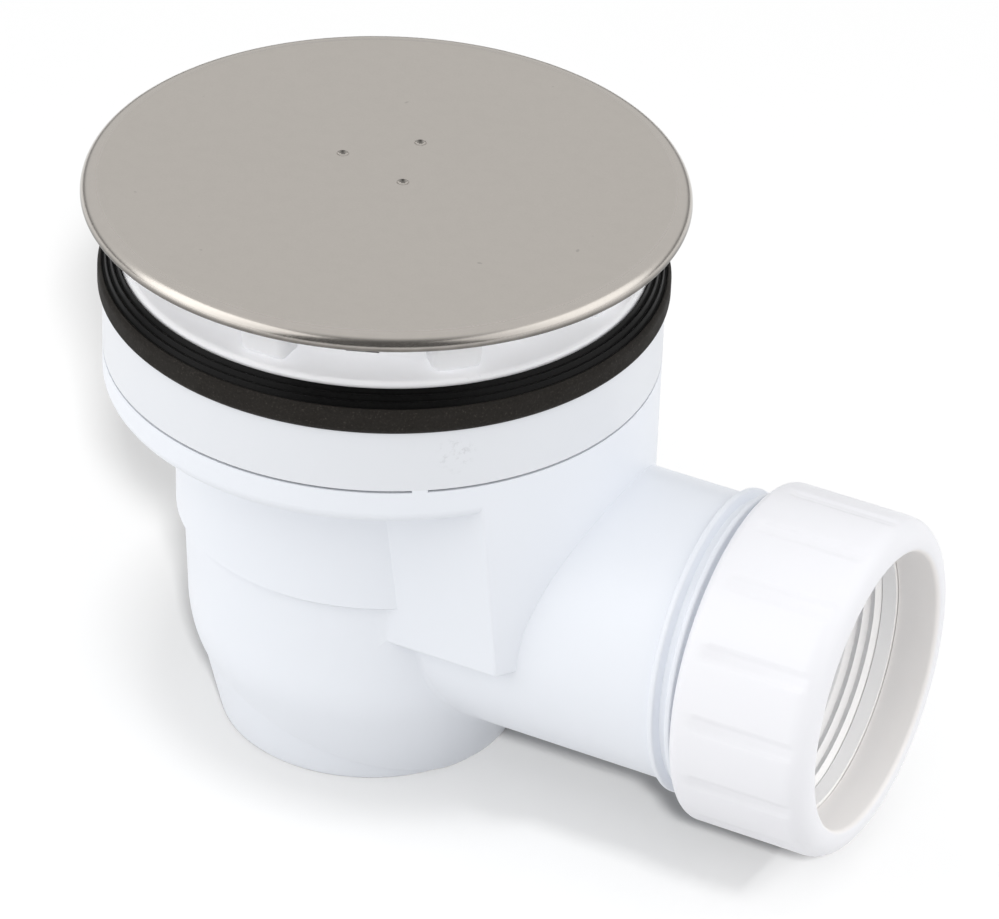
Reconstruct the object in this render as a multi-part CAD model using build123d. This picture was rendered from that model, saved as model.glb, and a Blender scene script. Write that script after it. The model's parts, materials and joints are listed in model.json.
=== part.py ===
from build123d import *
import os
from math import cos, radians, sin

# Shower-tray waste trap with a lift-off steel cover and a compression outlet.
# Millimetres. The origin is on the floor under the cup's axis, +Z is up and +X leaves through the outlet.

# Trap body: cup, rim, overflow chamber and outlet pipe are one moulding
body_height = 80.5
body_wall = 2.6
rim_radius = 52.0
rim_depth = 7.5
rim_edge_round = 3.0
seam_width = 0.5
seam_depth = 1.8
seam_key_width = 2.8
seam_key_angle = -54.0
cup_top_radius = 38.7
cup_step_radius = 38.2
cup_step_height = 46.0
cup_under_step_radius = 36.7
cup_under_step_height = 44.8
cup_belly_radius = 35.6
cup_belly_height = 21.5
cup_belly_round = 30.0
cup_base_radius = 27.4
cup_base_round = 0.8
cup_floor = 3.0
heel_line_height = 9.0
heel_line_slope = 0.37
heel_base_radius = 28.2
heel_draft = 0.244
heel_shift = 1.35
chamber_floor_height = 37.0
chamber_floor_half_width = 31.0
chamber_top_half_width = 34.6
chamber_edge_round = 1.0
weir_height = 62.0
window_half_width = 27.5
outlet_height = 37.8
outlet_pipe_radius = 27.6
outlet_root_round = 2.0
outlet_bore_radius = 24.0
outlet_end = 90.0
socket_radius = 25.25
socket_depth = 17.0
socket_flare_length = 4.0
socket_end_wall = 0.8

# Collar welded on the body's rim
collar_height = 12.4
collar_wall = 2.6
collar_sleeve_length = 10.9
collar_shoulder_width = 9.0
thread_clearance = 0.4

# Rubber seal under the tray
seal_thickness = 6.9
seal_band_height = 5.3
seal_band_bulge = 0.9
seal_band_lip = 0.3
seal_neck_clearance = 0.8
seal_ridge_count = 3
seal_ridge_pitch = 0.95
seal_ridge_height = 0.9
seal_lip_rise = 1.1
seal_lip_clearance = 0.15

# Flange that screws down through the tray into the collar
flange_brim_width = 6.4
flange_thickness = 1.7
flange_edge_round = 1.2
flange_neck_length = 15.8
flange_neck_wall = 5.0
flange_mouth_round = 0.6
flange_ledge_thickness = 2.5
flange_ledge_width = 2.6
flange_notch_count = 4
flange_notch_width = 6.0
flange_notch_reach = 1.0
flange_notch_height = 6.0

# Dip tube that lifts out of the flange for cleaning
tube_radius = 25.5
tube_wall = 2.0
tube_floor_gap = 9.0
tube_rim_height = 8.0
tube_rim_wall = 3.8
tube_clearance = 0.4
tube_funnel_height = 8.2
tube_funnel_drop = 1.3
ring_section_radius = 1.15
ring_groove_width = 3.0
ring_groove_depth = 2.0
ring_clearance = 0.05
grip_bar_width = 4.0
grip_bar_height = 3.5

# Steel cover on its footed carrier
cover_radius = 56.0
cover_sheet = 1.0
cover_rim_height = 2.7
cover_edge_round = 2.2
carrier_edge_width = 4.0
carrier_ring_width = 13.0
carrier_thickness = 2.5
carrier_hub_radius = 19.0
carrier_spoke_width = 5.0
foot_count = 8
foot_height = 10.0
foot_width = 9.0
foot_length = 6.2
foot_setback = 5.4
foot_draft = 0.7
foot_edge_round = 1.6
stud_count = 3
stud_circle_radius = 8.65
stud_circle_centre = (-3.2, 6.5)
stud_first_angle = -44.0
stud_radius = 2.0
stud_clearance = 0.2
stud_head_radius = 3.2
stud_head_height = 1.5
dimple_ball_radius = 1.1
dimple_depth = 0.5

# Compression outlet: cone seal, slip ring and nut on the pipe's end
pipe_clearance = 0.15
cone_seal_nose_length = 3.4
cone_seal_head_length = 3.0
cone_seal_head_radius = 29.0
cone_seal_lip_count = 3
cone_seal_lip_depth = 0.8
slip_ring_thickness = 2.8
slip_ring_bore_radius = 26.0
slip_ring_radius = 29.4
seat_gap = 0.15
nut_radius = 32.6
nut_length = 27.4
nut_thread_radius = 30.2
nut_mouth_radius = 26.6
nut_mouth_land = 8.45
nut_front_round = 4.3
nut_mouth_round = 1.1
nut_rear_round = 1.8
nut_groove_count = 15
nut_groove_width = 3.2
nut_groove_depth = 0.45
nut_groove_start = 4.2
nut_groove_first_angle = -2.0

# Radii of the stack, each from the piece that it fits
thread_radius = rim_radius - collar_shoulder_width
flange_neck_radius = thread_radius - thread_clearance
flange_radius = flange_neck_radius + flange_brim_width
flange_bore_radius = flange_neck_radius - flange_neck_wall
foot_radius = flange_bore_radius + foot_setback
carrier_radius = foot_radius + carrier_edge_width

# Levels of the stack, each piece standing on the one below
collar_top = body_height + collar_height
flange_seat = collar_top + seal_thickness
flange_top = flange_seat + flange_thickness
carrier_bottom = flange_top + foot_height
carrier_top = carrier_bottom + carrier_thickness
cover_top = carrier_top + cover_sheet
flange_neck_bottom = flange_seat - flange_neck_length
tube_seat = flange_neck_bottom + flange_ledge_thickness
tube_bottom = cup_floor + tube_floor_gap
rim_underside = body_height - rim_depth

# Stations along the outlet, each piece pushed against the one before
cone_seal_head_start = outlet_end + seat_gap
slip_ring_start = cone_seal_head_start + cone_seal_head_length + seat_gap
nut_lip_start = slip_ring_start + slip_ring_thickness + seat_gap
nut_front = nut_lip_start + nut_mouth_land
nut_rear = nut_front - nut_length


def turned(outline, rounds=()):
    """One turn of a closed (radius, height) outline about Z; rounds holds (corner, radius) pairs."""
    face = make_face(Polyline(*outline, close=True))
    for corner, radius in rounds:
        face = fillet(face.vertices().sort_by_distance(corner)[0], radius)
    return revolve(Plane.XZ * face, Axis.Z)


def on_outlet(piece):
    """A piece turned about Z, laid along the outlet so that its height becomes its station on X."""
    return Pos(0, 0, outlet_height) * Rot(0, 90, 0) * piece


def around(count, piece, start=0.0):
    """Copies of a piece spread evenly about Z."""
    return [Rot(0, 0, start + 360 / count * index) * piece for index in range(count)]


def stud_points():
    """Places of the cover's studs, in a triangle off the cover's centre."""
    for index in range(stud_count):
        angle = radians(stud_first_angle + 360 / stud_count * index)
        x = stud_circle_centre[0] + stud_circle_radius * cos(angle)
        y = stud_circle_centre[1] + stud_circle_radius * sin(angle)
        yield x, y


def cup_form(inset, floor):
    """The cup as a solid of revolution, drawn in from its outside by the inset."""
    belly = (cup_belly_radius - inset, cup_belly_height)
    base = (cup_base_radius - inset, floor)
    outline = [
        (0, floor),
        base,
        belly,
        (cup_under_step_radius - inset, cup_under_step_height),
        (cup_step_radius - inset, cup_step_height),
        (cup_top_radius - inset, rim_underside + body_wall),
        (0, rim_underside + body_wall),
    ]
    return turned(outline, [(base, cup_base_round), (belly, cup_belly_round)])


def heel_form():
    """The heel: a steeper cone than the cup's, set a little to the side away from the outlet."""
    height = heel_line_height + heel_line_slope * cup_belly_radius
    base = (heel_base_radius, 0)
    top_radius = heel_base_radius + heel_draft * height
    outline = [(0, 0), base, (top_radius, height), (0, height)]
    return Pos(-heel_shift, 0, 0) * turned(outline, [(base, cup_base_round)])


def cup_outside():
    """The cup's outside, which stands steeper below the slanting line round its heel."""
    line = Plane(origin=(0, 0, heel_line_height), z_dir=(heel_line_slope, 0, 1))
    upper = split(cup_form(0, 0), bisect_by=line, keep=Keep.TOP)
    heel = split(heel_form(), bisect_by=line, keep=Keep.BOTTOM)
    return upper + heel


def chamber_form(wall, top):
    """The overflow chamber: flat side walls that close in downwards, rounded off by the rim's cylinder."""
    floor = chamber_floor_height + wall
    draft = (chamber_top_half_width - chamber_floor_half_width) / (body_height - chamber_floor_height)
    low = chamber_floor_half_width + draft * wall - wall
    high = chamber_floor_half_width + draft * (top - chamber_floor_height) - wall
    side = make_face(Polyline((-low, floor), (low, floor), (high, top), (-high, top), close=True))
    block = extrude(Plane.YZ * side, amount=rim_radius)
    radius = rim_radius - wall
    return block & Pos(0, 0, top) * Cylinder(radius, 2 * (top - floor))


def chamber_outside():
    """The chamber's outside, its upright corners and lower edges softened."""
    chamber = chamber_form(0, body_height - seam_width / 2)
    back = chamber.faces().sort_by(Axis.X)[0]
    top = chamber.faces().sort_by(Axis.Z)[-1]
    buried = back.edges() + top.edges()
    return fillet([edge for edge in chamber.edges() if edge not in buried], chamber_edge_round)


def body_rim():
    """The dished rim round the cup's top, with the land that the collar is welded to."""
    shoulder = body_height - seam_width / 2
    land = rim_radius - seam_depth
    lower_edge = (rim_radius, rim_underside)
    rim = turned(
        [
            (0, rim_underside),
            lower_edge,
            (rim_radius, shoulder),
            (land, shoulder),
            (land, body_height),
            (0, body_height),
        ],
        [(lower_edge, rim_edge_round)],
    )
    key_top = shoulder + seam_width
    seam = turned([(land, shoulder), (rim_radius, shoulder), (rim_radius, key_top), (land, key_top)])
    key = Pos(rim_radius, 0, body_height) * Box(2 * rim_depth, seam_key_width, rim_depth)
    return rim + (seam & Rot(0, 0, seam_key_angle) * key)


def outlet_bore():
    """The passage through the pipe, with the socket and its flared mouth for the waste pipe."""
    socket_start = outlet_end - socket_depth
    flare_start = outlet_end - socket_flare_length
    flare_radius = outlet_pipe_radius - socket_end_wall
    return on_outlet(
        turned(
            [
                (0, 0),
                (outlet_bore_radius, 0),
                (outlet_bore_radius, socket_start),
                (socket_radius, socket_start),
                (socket_radius, flare_start),
                (flare_radius, outlet_end),
                (0, outlet_end),
            ]
        )
    )


def cup_with_pipe(cup):
    """The cup and the outlet pipe, run into each other with a soft rounding below the cup's step."""
    pipe = on_outlet(Pos(0, 0, outlet_end / 2) * Cylinder(outlet_pipe_radius, outlet_end))
    joined = cup + pipe
    meeting_lines = joined.edges().filter_by(GeomType.BSPLINE)
    near_pipe = [line for line in meeting_lines if line.center().X > 0]
    low_lines = [line for line in near_pipe if heel_line_height < line.center().Z < cup_under_step_height]
    return fillet(low_lines, outlet_root_round)


def trap_body():
    cup = cup_outside()
    solid = cup_with_pipe(cup) + body_rim() + chamber_outside()
    passage = chamber_form(body_wall, body_height) + outlet_bore()
    well = cup_form(body_wall, cup_floor)
    dish_radius = rim_radius - body_wall
    floor = rim_underside + body_wall
    dish = turned([(0, floor), (dish_radius, floor), (dish_radius, body_height), (0, body_height)])
    window_height = body_height - weir_height
    window = Pos(rim_radius / 2 - body_wall, 0, weir_height + window_height / 2) * Box(
        rim_radius - 2 * body_wall, 2 * window_half_width, window_height
    )
    window = window & Pos(0, 0, body_height) * Cylinder(dish_radius, 2 * body_height)
    return solid - (passage - cup) - well - dish - window


def collar():
    bottom = body_height
    shoulder = bottom + seam_width / 2
    land = rim_radius - seam_depth
    skirt = rim_radius - collar_wall
    sleeve = thread_radius + collar_wall
    deck = collar_top - collar_wall
    sleeve_bottom = collar_top - collar_sleeve_length
    return turned(
        [
            (thread_radius, sleeve_bottom),
            (sleeve, sleeve_bottom),
            (sleeve, deck),
            (skirt, deck),
            (skirt, bottom),
            (land, bottom),
            (land, shoulder),
            (rim_radius, shoulder),
            (rim_radius, collar_top),
            (thread_radius, collar_top),
        ]
    )


def tray_seal():
    """A rubber ring with a plain outer band, and ridges that step up to a lip round the flange's edge."""
    outer = rim_radius + seal_band_bulge
    band_top = collar_top + seal_band_height
    band_edge = rim_radius + seal_band_lip
    inner = flange_neck_radius + seal_neck_clearance
    lip_top = flange_seat + seal_lip_rise
    lip_inside = flange_radius + seal_lip_clearance
    outline = [
        (inner, collar_top),
        (rim_radius, collar_top),
        (outer, collar_top + seal_band_bulge),
        (outer, band_top - seal_band_bulge),
        (band_edge, band_top),
    ]
    rise = (lip_top - band_top) / seal_ridge_count
    for index in range(seal_ridge_count):
        crest = band_edge - (index + 1) * seal_ridge_pitch
        level = band_top + rise * (index + 1)
        outline.append((crest + seal_ridge_pitch / 2, level - seal_ridge_height))
        outline.append((crest, level))
    outline.append((lip_inside, flange_seat))
    outline.append((inner, flange_seat))
    return turned(outline)


def flange():
    ledge = flange_bore_radius - flange_ledge_width
    mouth = (flange_bore_radius, flange_top)
    edge = (flange_radius, flange_top)
    ring = turned(
        [
            (ledge, flange_neck_bottom),
            (flange_neck_radius, flange_neck_bottom),
            (flange_neck_radius, flange_seat),
            (flange_radius, flange_seat),
            edge,
            mouth,
            (flange_bore_radius, tube_seat),
            (ledge, tube_seat),
        ],
        [(edge, flange_edge_round), (mouth, flange_mouth_round)],
    )
    notch_reach = flange_notch_reach + flange_ledge_width
    notch_middle = flange_bore_radius + flange_notch_reach - notch_reach / 2
    notch = Pos(notch_middle, 0, flange_top - flange_notch_height / 2) * Box(
        notch_reach, flange_notch_width, flange_notch_height
    )
    return ring - around(flange_notch_count, notch, 180 / foot_count)


def tube_profile():
    """Heights and radii that the dip tube shares with its sealing ring."""
    rim = flange_bore_radius - tube_clearance
    rim_top = tube_seat + tube_rim_height
    groove_middle = (tube_seat + rim_top) / 2
    return rim, rim_top, groove_middle


def dip_tube():
    rim, rim_top, groove_middle = tube_profile()
    groove_floor = rim - ring_groove_depth
    low = groove_middle - ring_groove_width / 2
    high = groove_middle + ring_groove_width / 2
    throat = flange_bore_radius - flange_ledge_width - tube_clearance
    throat_bottom = tube_seat - tube_funnel_drop
    funnel_bottom = throat_bottom - tube_funnel_height
    bore = tube_radius - tube_wall
    inside = rim - tube_rim_wall
    tube = turned(
        [
            (bore, tube_bottom),
            (tube_radius, tube_bottom),
            (tube_radius, funnel_bottom),
            (throat, throat_bottom),
            (throat, tube_seat),
            (rim, tube_seat),
            (rim, low),
            (groove_floor, low),
            (groove_floor, high),
            (rim, high),
            (rim, rim_top),
            (inside, rim_top),
            (inside, throat_bottom + tube_wall),
            (bore, funnel_bottom + tube_wall / 2),
        ]
    )
    bar_length = 2 * inside + tube_wall
    bar = Pos(0, 0, rim_top - grip_bar_height / 2) * Box(bar_length, grip_bar_width, grip_bar_height)
    return tube + bar


def dip_tube_ring():
    rim, rim_top, groove_middle = tube_profile()
    centre = flange_bore_radius - ring_clearance - ring_section_radius
    return Pos(0, 0, groove_middle) * Torus(centre, ring_section_radius)


def cover_plate():
    """A round of sheet with its edge rolled down, and three small dimples over the studs."""
    inside = cover_radius - cover_sheet
    under = cover_top - cover_sheet
    low = cover_top - cover_rim_height
    top_edge = (cover_radius, cover_top)
    inner_edge = (inside, under)
    plate = turned(
        [(0, cover_top), top_edge, (cover_radius, low), (inside, low), inner_edge, (0, under)],
        [(top_edge, cover_edge_round), (inner_edge, cover_edge_round - cover_sheet)],
    )
    for x, y in stud_points():
        plate -= Pos(x, y, cover_top + dimple_ball_radius - dimple_depth) * Sphere(dimple_ball_radius)
    return plate


def cover_studs():
    """Three studs welded under the cover, headed over below the carrier's hub."""
    shank = Pos(0, 0, carrier_top - carrier_thickness / 2) * Cylinder(stud_radius, carrier_thickness)
    head = Pos(0, 0, carrier_bottom - stud_head_height / 2) * Cylinder(stud_head_radius, stud_head_height)
    stud = shank + fillet(head.edges().sort_by(Axis.Z)[0], stud_head_height / 2)
    return Compound([Pos(x, y, 0) * stud for x, y in stud_points()])


def carrier_foot():
    """One foot: a drafted block with softened corners that stands on the flange."""
    root_length = foot_length + 2 * foot_draft
    root_width = foot_width + 2 * foot_draft
    root_round = foot_edge_round + foot_draft
    low = Pos(foot_radius, 0, flange_top) * RectangleRounded(foot_length, foot_width, foot_edge_round)
    high = Pos(foot_radius, 0, carrier_bottom) * RectangleRounded(root_length, root_width, root_round)
    return loft([low, high])


def cover_carrier():
    middle = (carrier_bottom + carrier_top) / 2
    ring_inside = carrier_radius - carrier_ring_width
    opening = Cylinder(ring_inside, carrier_thickness)
    ring = Pos(0, 0, middle) * (Cylinder(carrier_radius, carrier_thickness) - opening)
    hub = Pos(0, 0, middle) * Cylinder(carrier_hub_radius, carrier_thickness)
    spoke_length = carrier_radius - carrier_ring_width / 2
    spoke = Pos(spoke_length / 2, 0, middle) * Box(spoke_length, carrier_spoke_width, carrier_thickness)
    web = ring + hub + around(foot_count, spoke)
    for x, y in stud_points():
        web -= Pos(x, y, middle) * Cylinder(stud_radius + stud_clearance, carrier_thickness)
    return web + around(foot_count, carrier_foot())


def outlet_seal():
    """A soft cone ring: its nose wedges into the flared socket, its bore grips the pipe with ring lips."""
    bore = socket_radius + pipe_clearance
    nose = outlet_end - cone_seal_nose_length
    flare = (outlet_pipe_radius - socket_end_wall - socket_radius) / socket_flare_length
    shoulder = outlet_pipe_radius - socket_end_wall - pipe_clearance
    tip = shoulder - flare * cone_seal_nose_length
    back = cone_seal_head_start + cone_seal_head_length
    outline = [
        (tip, nose),
        (shoulder, outlet_end),
        (shoulder, cone_seal_head_start),
        (cone_seal_head_radius, cone_seal_head_start),
        (cone_seal_head_radius, back),
        (bore + cone_seal_lip_depth, back),
    ]
    pitch = (back - nose) / cone_seal_lip_count
    for index in range(cone_seal_lip_count - 1):
        lip = back - pitch * (index + 0.5)
        outline.append((bore, lip))
        outline.append((bore + cone_seal_lip_depth, lip - pitch / 2))
    outline.append((bore, nose + pitch / 2))
    outline.append((bore, nose))
    return on_outlet(turned(outline))


def slip_ring():
    end = slip_ring_start + slip_ring_thickness
    return on_outlet(
        turned(
            [
                (slip_ring_bore_radius, slip_ring_start),
                (slip_ring_radius, slip_ring_start),
                (slip_ring_radius, end),
                (slip_ring_bore_radius, end),
            ]
        )
    )


def outlet_nut():
    rear_edge = (nut_radius, nut_rear)
    front_edge = (nut_radius, nut_front)
    mouth_edge = (nut_mouth_radius, nut_front)
    nut = turned(
        [
            (nut_thread_radius, nut_rear),
            rear_edge,
            front_edge,
            mouth_edge,
            (nut_mouth_radius, nut_lip_start),
            (nut_thread_radius, nut_lip_start),
        ],
        [(rear_edge, nut_rear_round), (front_edge, nut_front_round), (mouth_edge, nut_mouth_round)],
    )
    groove_length = nut_length - nut_groove_start
    groove = Pos(nut_radius, 0, nut_front - groove_length / 2) * Box(
        2 * nut_groove_depth, nut_groove_width, groove_length
    )
    return on_outlet(nut - around(nut_groove_count, groove, nut_groove_first_angle))


pieces = {
    "trap_body": trap_body,
    "collar": collar,
    "tray_seal": tray_seal,
    "flange": flange,
    "dip_tube": dip_tube,
    "dip_tube_ring": dip_tube_ring,
    "cover_carrier": cover_carrier,
    "cover_studs": cover_studs,
    "cover_plate": cover_plate,
    "outlet_seal": outlet_seal,
    "slip_ring": slip_ring,
    "outlet_nut": outlet_nut,
}

os.makedirs("parts", exist_ok=True)
for name, make in pieces.items():
    export_step(make(), f"parts/{name}.step")
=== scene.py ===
import json
import math

import bmesh
import bpy
from bpy.props import FloatProperty, FloatVectorProperty, IntProperty, PointerProperty
from bpy.types import Operator, Panel, PropertyGroup
from mathutils import Matrix, Vector

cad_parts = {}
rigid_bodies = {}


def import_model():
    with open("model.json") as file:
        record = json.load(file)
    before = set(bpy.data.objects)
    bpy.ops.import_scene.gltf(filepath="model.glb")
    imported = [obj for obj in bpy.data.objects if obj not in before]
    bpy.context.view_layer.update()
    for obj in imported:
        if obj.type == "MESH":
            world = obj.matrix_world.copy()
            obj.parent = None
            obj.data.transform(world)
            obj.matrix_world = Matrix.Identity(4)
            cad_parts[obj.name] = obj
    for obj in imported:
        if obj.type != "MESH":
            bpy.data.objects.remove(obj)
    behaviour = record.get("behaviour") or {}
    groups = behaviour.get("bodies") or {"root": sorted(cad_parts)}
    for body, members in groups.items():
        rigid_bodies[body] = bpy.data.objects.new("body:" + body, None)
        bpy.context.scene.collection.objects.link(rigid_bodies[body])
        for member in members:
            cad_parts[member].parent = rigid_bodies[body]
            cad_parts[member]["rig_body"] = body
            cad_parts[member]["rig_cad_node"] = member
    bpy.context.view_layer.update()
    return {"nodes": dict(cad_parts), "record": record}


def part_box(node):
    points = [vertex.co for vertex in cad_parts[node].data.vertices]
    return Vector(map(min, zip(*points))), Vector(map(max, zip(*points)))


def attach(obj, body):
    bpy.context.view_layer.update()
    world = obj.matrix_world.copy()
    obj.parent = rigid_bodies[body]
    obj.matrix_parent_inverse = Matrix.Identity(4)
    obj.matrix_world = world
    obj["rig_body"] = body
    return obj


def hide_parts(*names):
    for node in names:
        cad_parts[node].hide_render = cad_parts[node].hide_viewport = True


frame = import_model()

bl_info = {
    "name": "Shower Waste Trap",
    "version": (1, 0, 0),
    "blender": (4, 5, 0),
    "location": "View3D > Sidebar > Waste Trap",
    "description": "Dresses a shower-tray waste trap: steel cover, rubber seal, white mouldings and outlet nut",
    "category": "Mesh",
}

MM = 0.001
BODY = "trap"
NUT_BODY = "outlet_nut"
RING_BODY = "slip_ring"
AROUND_CUP = "cup"
AROUND_OUTLET = "outlet"
GROOVE_ANGLE = -10.0
CAMERA_SIDE = -63.5

LOW = {name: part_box(name)[0] for name in frame["nodes"]}
HIGH = {name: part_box(name)[1] for name in frame["nodes"]}
MOUNTS = {mount["name"]: mount for mount in frame["record"]["mounts"]}
OUTLET_HEIGHT = MOUNTS["outlet"]["pos_m"][2]
SEAM = (80.5 * MM, 51.6 * MM)
SCUFFS = (35.6 * MM, -37.9 * MM, 87.9 * MM)
DIMPLES = ((3.02 * MM, 0.49 * MM), (-1.12 * MM, 14.9 * MM), (-11.5 * MM, 4.1 * MM))


def length(name, default, description):
    """A length that a user may change."""
    return FloatProperty(
        name=name, description=description, default=default, min=0.0, unit="LENGTH", subtype="DISTANCE"
    )


def colour(name, default, description):
    """A colour that a user may change."""
    return FloatVectorProperty(
        name=name, description=description, default=default, size=3, min=0.0, max=1.0, subtype="COLOR"
    )


# Sizes and colours of each piece


class CoverSettings(PropertyGroup):
    radius: length("Radius", HIGH["cover_plate"].x, "Outer radius of the steel cover")
    top: length("Top", HIGH["cover_plate"].z, "Height of the cover's top face")
    rim: length("Rim height", HIGH["cover_plate"].z - LOW["cover_plate"].z, "Depth of the rolled edge")
    sheet: length("Sheet", 1.0 * MM, "Thickness of the steel sheet")
    edge_round: length("Edge round", 2.2 * MM, "Outer rounding of the rolled edge")
    crease: length("Crease", 3.1 * MM, "How far inside the edge the faint pressed ring lies")
    dimple: length("Dimple", 1.4 * MM, "Radius of the ball that presses each small dimple")
    dimple_depth: length("Dimple depth", 0.62 * MM, "How deep the dimples are pressed")
    steel: colour("Steel", (0.573, 0.538, 0.497), "Colour of the satin steel")


class SealSettings(PropertyGroup):
    inner: length("Inner radius", 43.4 * MM, "Inner radius of the tray seal")
    bottom: length("Bottom", LOW["tray_seal"].z, "Height of the seal's underside")
    top: length("Top", HIGH["tray_seal"].z, "Height of the lip round the flange")
    seat: length("Seat", HIGH["tray_seal"].z - 1.1 * MM, "Height of the face under the flange")
    radius: length("Radius", HIGH["tray_seal"].x, "Outer radius of the plain band")
    lip: length("Lip", HIGH["flange"].x + 0.15 * MM, "Inner radius of the lip round the flange")
    band: length("Band", 5.3 * MM, "Height of the plain band")
    ridges: IntProperty(
        name="Ridges", description="Number of ridges from the band up to the lip", default=3, min=1, max=6
    )
    ridge_pitch: length("Ridge pitch", 0.95 * MM, "Distance between the ridges")
    rubber: colour("Rubber", (0.005, 0.005, 0.005), "Colour of the black rubber where it is clean")
    dust: colour("Dust", (0.022, 0.0195, 0.017), "Colour of the dusty outer band")


class FlangeSettings(PropertyGroup):
    plastic: colour("Plastic", (0.925, 0.93, 0.95), "Colour of the flange, its carrier and the dip tube")


class BodySettings(PropertyGroup):
    plastic: colour("Plastic", (0.858, 0.886, 0.937), "Colour of the trap body")
    collar: colour("Collar", (0.80, 0.82, 0.857), "Colour of the collar, a little greyer than the body")
    pitch: length("Thread pitch", 3.5 * MM, "Distance between the turns of the outlet's thread")
    root: length("Thread root", 27.3 * MM, "Inner radius of the outlet's thread, just inside the pipe's wall")
    crest: length("Thread crest", 29.2 * MM, "Outer radius of the outlet's thread")
    start: length("Thread start", 70.4 * MM, "Distance from the cup's axis to the thread's first turn")
    turns: IntProperty(
        name="Turns", description="Number of turns of the outlet's thread", default=5, min=1, max=12
    )


class NutSettings(PropertyGroup):
    radius: length("Radius", HIGH["outlet_nut"].y, "Outer radius of the nut between its grooves")
    bore: length("Bore", 30.2 * MM, "Inner radius of the nut round the pipe's thread")
    mouth: length("Mouth", 26.6 * MM, "Inner radius of the nut's mouth")
    land: length("Land", 8.45 * MM, "Depth of the mouth before the nut widens inside")
    rear_round: length("Rear round", 1.8 * MM, "Rounding of the nut's rear edge")
    front_round: length("Front round", 4.3 * MM, "Rounding of the nut's front edge")
    grooves: IntProperty(
        name="Grooves", description="Number of grip grooves round the nut", default=15, min=3, max=20
    )
    groove_depth: length("Groove depth", 0.34 * MM, "Depth of the grip grooves")
    groove_start: length("Groove start", 4.2 * MM, "Distance from the nut's rear to its grooves")
    plastic: colour("Plastic", (0.89, 0.892, 0.925), "Colour of the compression nut")
    # The colour inside the nut's mouth is paler than the nut: painted light that lifts the shade in the mouth.
    painted_mouth_light: colour("Painted mouth light", (0.98, 0.952, 0.93), "Colour of the nut's mouth inside")


class StageSettings(PropertyGroup):
    floor: colour("Floor", (0.6, 0.6, 0.6), "Colour of the floor where it is seen")
    floor_bounce: colour("Floor bounce", (0.45, 0.45, 0.45), "Colour of the floor in the light it sends up")
    lens: FloatProperty(
        name="Lens", description="Focal length of the camera in millimetres", default=216.2, min=20.0
    )


class TrapSettings(PropertyGroup):
    cover: PointerProperty(type=CoverSettings, name="Cover")
    seal: PointerProperty(type=SealSettings, name="Tray seal")
    flange: PointerProperty(type=FlangeSettings, name="Flange")
    body: PointerProperty(type=BodySettings, name="Trap body")
    nut: PointerProperty(type=NutSettings, name="Outlet nut")
    stage: PointerProperty(type=StageSettings, name="Stage")


# Materials


def new_material(name):
    """An empty node material with its shader, output and object coordinates."""
    material = bpy.data.materials.new(name)
    material.use_nodes = True
    nodes = material.node_tree.nodes
    shader = nodes["Principled BSDF"]
    place = nodes.new("ShaderNodeTexCoord")
    return material, nodes, material.node_tree.links, shader, place


def noise(nodes, links, place, scale, detail=3.0, roughness=0.5):
    """A noise pattern on object coordinates; scale is in waves to the metre."""
    node = nodes.new("ShaderNodeTexNoise")
    node.inputs["Scale"].default_value = scale
    node.inputs["Detail"].default_value = detail
    node.inputs["Roughness"].default_value = roughness
    links.new(place.outputs["Object"], node.inputs["Vector"])
    return node


def ramp(nodes, links, source, stops):
    """A colour ramp over a pattern's value."""
    node = nodes.new("ShaderNodeValToRGB")
    elements = node.color_ramp.elements
    while len(elements) < len(stops):
        elements.new(0.5)
    for element, (position, shade) in zip(elements, stops):
        element.position = position
        element.color = (*shade, 1.0)
    links.new(source, node.inputs["Fac"])
    return node


def spread(nodes, links, source, low, high):
    """Maps a pattern's middle range to the span from low to high."""
    node = nodes.new("ShaderNodeMapRange")
    node.inputs["From Min"].default_value = 0.3
    node.inputs["From Max"].default_value = 0.7
    node.inputs["To Min"].default_value = low
    node.inputs["To Max"].default_value = high
    links.new(source, node.inputs["Value"])
    return node


def bump(nodes, links, source, shader, height, strength):
    """Fine relief on the shader's normal; height is in metres."""
    node = nodes.new("ShaderNodeBump")
    node.inputs["Distance"].default_value = height
    node.inputs["Strength"].default_value = strength
    links.new(source, node.inputs["Height"])
    links.new(node.outputs["Normal"], shader.inputs["Normal"])
    return node


def ring_mask(nodes, links, place, inner, outer, around=AROUND_CUP):
    """A value that goes from 0 to 1 between two radii about the cup's axis or the outlet's."""
    flat = nodes.new("ShaderNodeVectorMath")
    flat.operation = "MULTIPLY_ADD"
    upright = around == AROUND_CUP
    flat.inputs[1].default_value = (1.0, 1.0, 0.0) if upright else (0.0, 1.0, 1.0)
    flat.inputs[2].default_value = (0.0, 0.0, 0.0 if upright else -OUTLET_HEIGHT)
    links.new(place.outputs["Object"], flat.inputs[0])
    reach = nodes.new("ShaderNodeVectorMath")
    reach.operation = "LENGTH"
    links.new(flat.outputs["Vector"], reach.inputs[0])
    mask = nodes.new("ShaderNodeMapRange")
    mask.inputs["From Min"].default_value = inner
    mask.inputs["From Max"].default_value = outer
    links.new(reach.outputs["Value"], mask.inputs["Value"])
    return mask.outputs["Result"]


def mixed(nodes, links, kind, mask, first, second):
    """Two patterns of colours or values, the second where the mask is 1."""
    node = nodes.new("ShaderNodeMix")
    node.data_type = kind
    sockets = {"FLOAT": (2, 3, 0), "RGBA": (6, 7, 2)}[kind]
    links.new(mask, node.inputs[0])
    links.new(first, node.inputs[sockets[0]])
    links.new(second, node.inputs[sockets[1]])
    return node.outputs[sockets[2]]


def tint(shade, factor):
    """A colour made lighter or darker by a factor."""
    return tuple(min(1.0, channel * factor) for channel in shade)


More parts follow.
